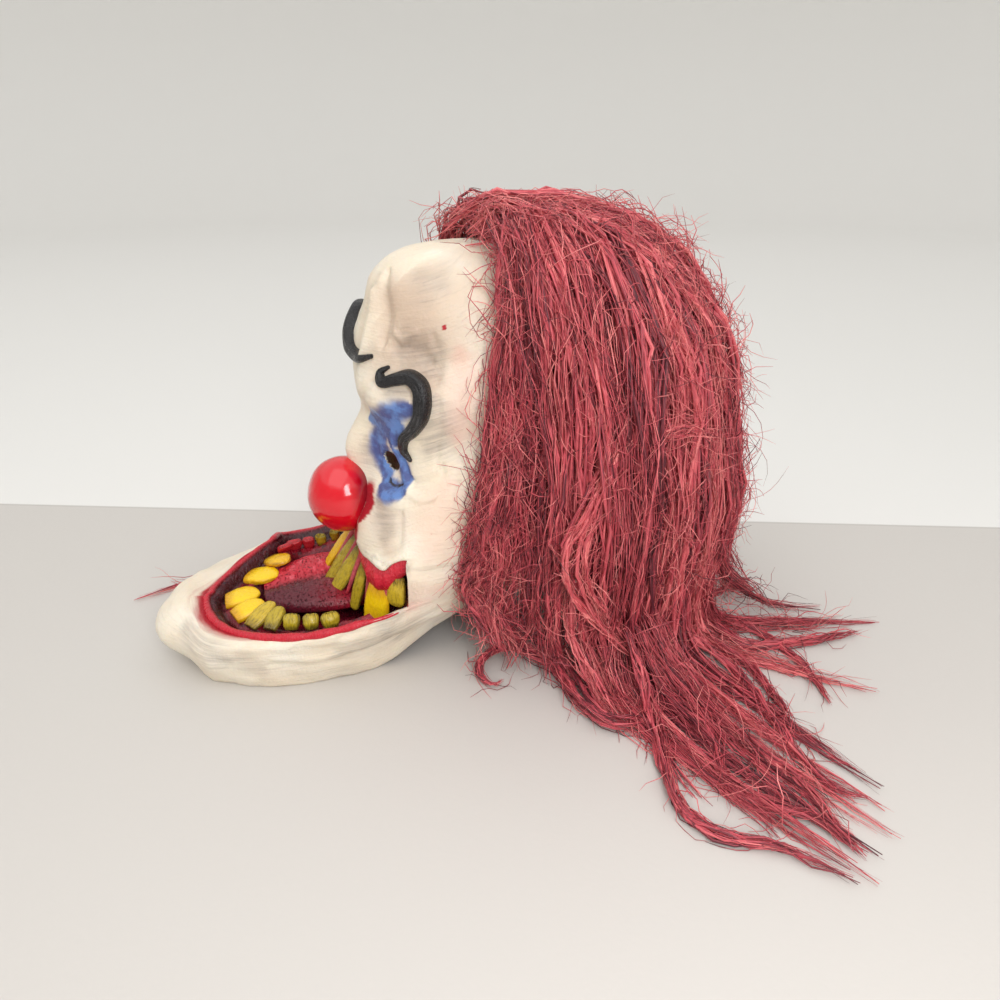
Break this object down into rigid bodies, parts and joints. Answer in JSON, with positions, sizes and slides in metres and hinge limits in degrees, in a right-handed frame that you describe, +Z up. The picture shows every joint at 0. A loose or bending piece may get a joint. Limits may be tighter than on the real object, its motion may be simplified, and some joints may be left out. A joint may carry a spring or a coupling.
{
  "type": "clown mask",
  "caption": "Over-the-head latex clown mask with a wide open toothed mouth, a red ball nose, raised curled brows and a long red wig that trails on the table.",
  "frame": {"origin": "on the table, under the middle of the whole mask's box with its hair tails", "axes": "-Y is the way the face looks, +X the mask's own left side, +Z up from the table"},
  "size_m": [0.5048, 0.675, 0.357],
  "materials": {
    "latex": "matte cast latex, painted",
    "nose_red": "glossy red paint",
    "brow_black": "satin black paint",
    "mouth_red": "satin red and maroon paint",
    "tongue_red": "satin red paint",
    "tooth_yellow": "satin yellow paint with brown strokes",
    "hair": "fine synthetic hair"
  },
  "bodies": {
    "root": {"skin": "latex", "nose": "nose_red", "brow_left": "brow_black", "brow_right": "brow_black", "mouth_lining": "mouth_red", "upper_gum": "mouth_red", "tongue": "tongue_red", "lower_tooth_01": "tooth_yellow", "lower_tooth_02": "tooth_yellow", "lower_tooth_03": "tooth_yellow", "lower_tooth_04": "tooth_yellow", "lower_tooth_05": "tooth_yellow", "lower_tooth_06": "tooth_yellow", "lower_tooth_07": "tooth_yellow", "lower_tooth_08": "tooth_yellow", "lower_tooth_09": "tooth_yellow", "lower_tooth_10": "tooth_yellow", "lower_tooth_11": "tooth_yellow", "lower_tooth_12": "tooth_yellow", "lower_tooth_13": "tooth_yellow", "lower_tooth_14": "tooth_yellow", "upper_tooth_01": "tooth_yellow", "upper_tooth_02": "tooth_yellow", "upper_tooth_03": "tooth_yellow", "upper_tooth_04": "tooth_yellow", "upper_tooth_05": "tooth_yellow", "upper_tooth_06": "tooth_yellow", "upper_tooth_07": "tooth_yellow", "upper_tooth_08": "tooth_yellow", "upper_tooth_09": "tooth_yellow", "wig": "hair"}
  },
  "joints": []
}
